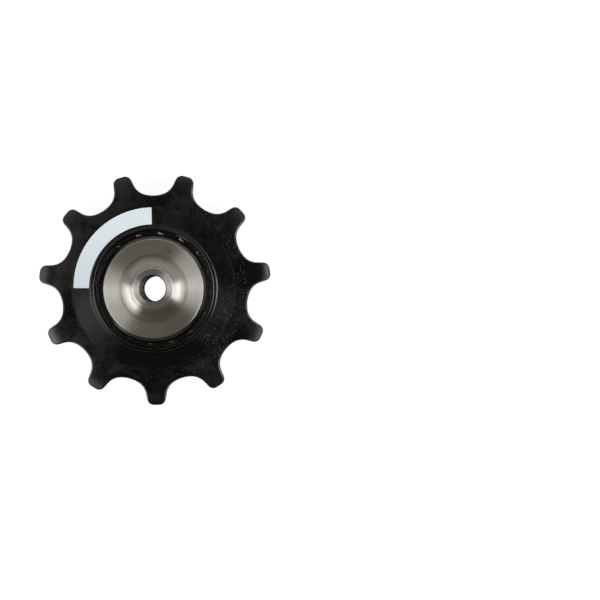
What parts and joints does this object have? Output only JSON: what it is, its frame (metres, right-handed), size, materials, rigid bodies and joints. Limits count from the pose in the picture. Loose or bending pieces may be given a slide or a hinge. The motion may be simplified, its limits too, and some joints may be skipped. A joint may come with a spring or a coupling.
{
  "type": "derailleur jockey wheel",
  "caption": "Toothed guide wheel for a bicycle chain, turning on an open ball bearing held between turned metal caps with a central bolt hole.",
  "frame": {"origin": "on the bore's axis, in the middle plane of the toothed wheel", "axes": "+Z along the bore, towards the printed face; with that face seen from above, +X is to the right and +Y up as in the picture"},
  "size_m": [0.0463, 0.0459, 0.0086],
  "materials": {
    "black_composite": "satin, with fine pale fibre flecks",
    "white_ink": "flat printed ink",
    "black_steel": "black coated, ground",
    "black_polymer": "moulded",
    "turned_metal": "fine turned rings",
    "dark_ceramic": "polished"
  },
  "bodies": {
    "hub": {"front_cap": "turned_metal", "rear_cap": "turned_metal", "inner_race": "black_steel"},
    "wheel": {"toothed_wheel": "black_composite", "printed_band": "white_ink", "outer_race": "black_steel"},
    "cage": {"ball_cage": "black_polymer", "ball_01": "dark_ceramic", "ball_02": "dark_ceramic", "ball_03": "dark_ceramic", "ball_04": "dark_ceramic", "ball_05": "dark_ceramic", "ball_06": "dark_ceramic", "ball_07": "dark_ceramic", "ball_08": "dark_ceramic", "ball_09": "dark_ceramic", "ball_10": "dark_ceramic", "ball_11": "dark_ceramic", "ball_12": "dark_ceramic", "ball_13": "dark_ceramic", "ball_14": "dark_ceramic", "ball_15": "dark_ceramic", "ball_16": "dark_ceramic"}
  },
  "joints": [
    {"name": "wheel_spin", "type": "hinge", "parent": "hub", "child": "wheel", "pos_m": [0, 0, 0], "axis": [0, 0, 1], "continuous": true},
    {"name": "cage_orbit", "type": "hinge", "parent": "hub", "child": "cage", "pos_m": [0, 0, 0], "axis": [0, 0, 1], "continuous": true}
  ],
  "couplings": [
    {"joint": "cage_orbit", "follows": "wheel_spin", "ratio": 0.55537}
  ]
}
